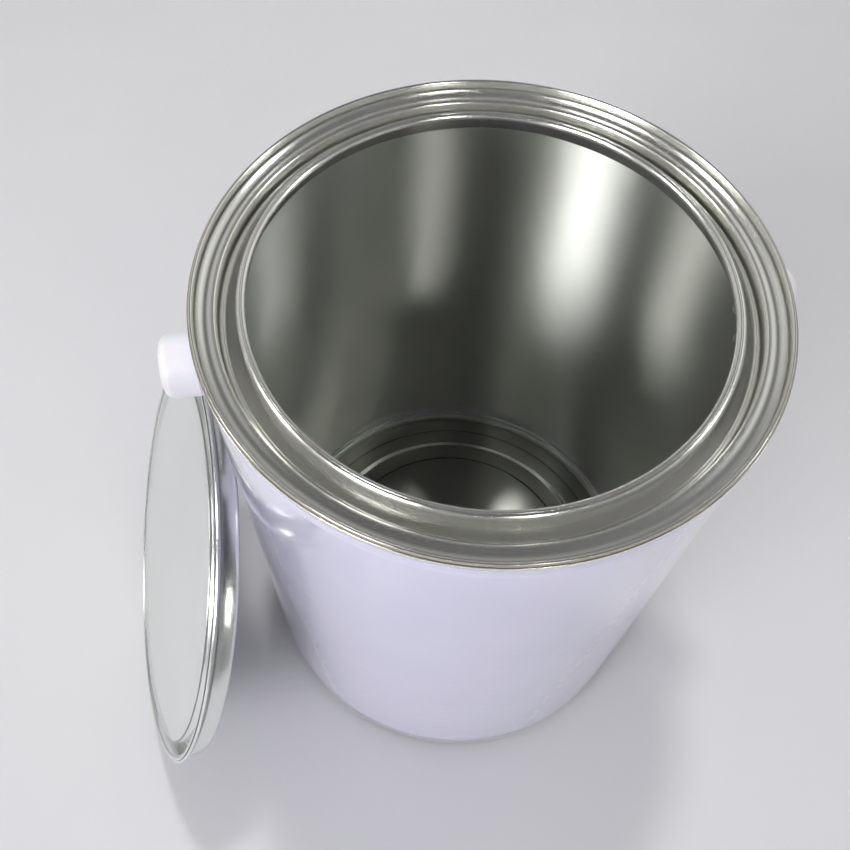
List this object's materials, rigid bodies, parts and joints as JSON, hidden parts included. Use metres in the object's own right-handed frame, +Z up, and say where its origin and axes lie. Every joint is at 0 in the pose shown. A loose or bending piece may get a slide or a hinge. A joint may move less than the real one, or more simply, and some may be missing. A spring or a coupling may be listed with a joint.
{
  "type": "paint can",
  "caption": "Round lever-lid tinplate paint can, open, with its plug lid leaning on the side, plastic ear caps and a wire bail with a grip.",
  "frame": {"origin": "centre of the can's base, on the surface that it stands on", "axes": "+Z up along the can's axis; +X along the bail's pivot axis, away from the leaning lid"},
  "size_m": [0.2576, 0.1919, 0.235],
  "materials": {
    "enamelled_tinplate": "gloss white enamel outside, bare tinplate inside",
    "bare_tinplate": "bright tinplate with fine rolling grain",
    "lid_tinplate": "satin tinplate panel, bright rim",
    "lug_steel": "tinned steel",
    "bail_steel": "zinc-plated wire",
    "white_plastic": "satin white polyethylene",
    "seam_compound": "dull sealing compound"
  },
  "bodies": {
    "can": {"body_shell": "enamelled_tinplate", "top_ring": "bare_tinplate", "bottom_end": "bare_tinplate", "top_seam_compound": "seam_compound", "bottom_seam_compound": "seam_compound", "right_ear_lug": "lug_steel", "left_ear_lug": "lug_steel"},
    "bail": {"bail_wire": "bail_steel", "left_ear_cap": "white_plastic", "right_ear_cap": "white_plastic"},
    "grip": {"bail_grip": "white_plastic"},
    "lid": {"lid": "lid_tinplate"}
  },
  "joints": [
    {"name": "bail_swing", "type": "hinge", "parent": "can", "child": "bail", "pos_m": [0, 0, 0.2095], "axis": [1, 0, 0], "range_deg": [0, 258]},
    {"name": "grip_spin", "type": "hinge", "parent": "bail", "child": "grip", "pos_m": [0, 0.09555, 0.12891], "axis": [1, 0, 0], "continuous": true},
    {"name": "lid_lift_off", "type": "slide", "parent": "can", "child": "lid", "axis": [-0.93, -0.0439, 0.3649], "range_m": [0, 0.15]}
  ]
}
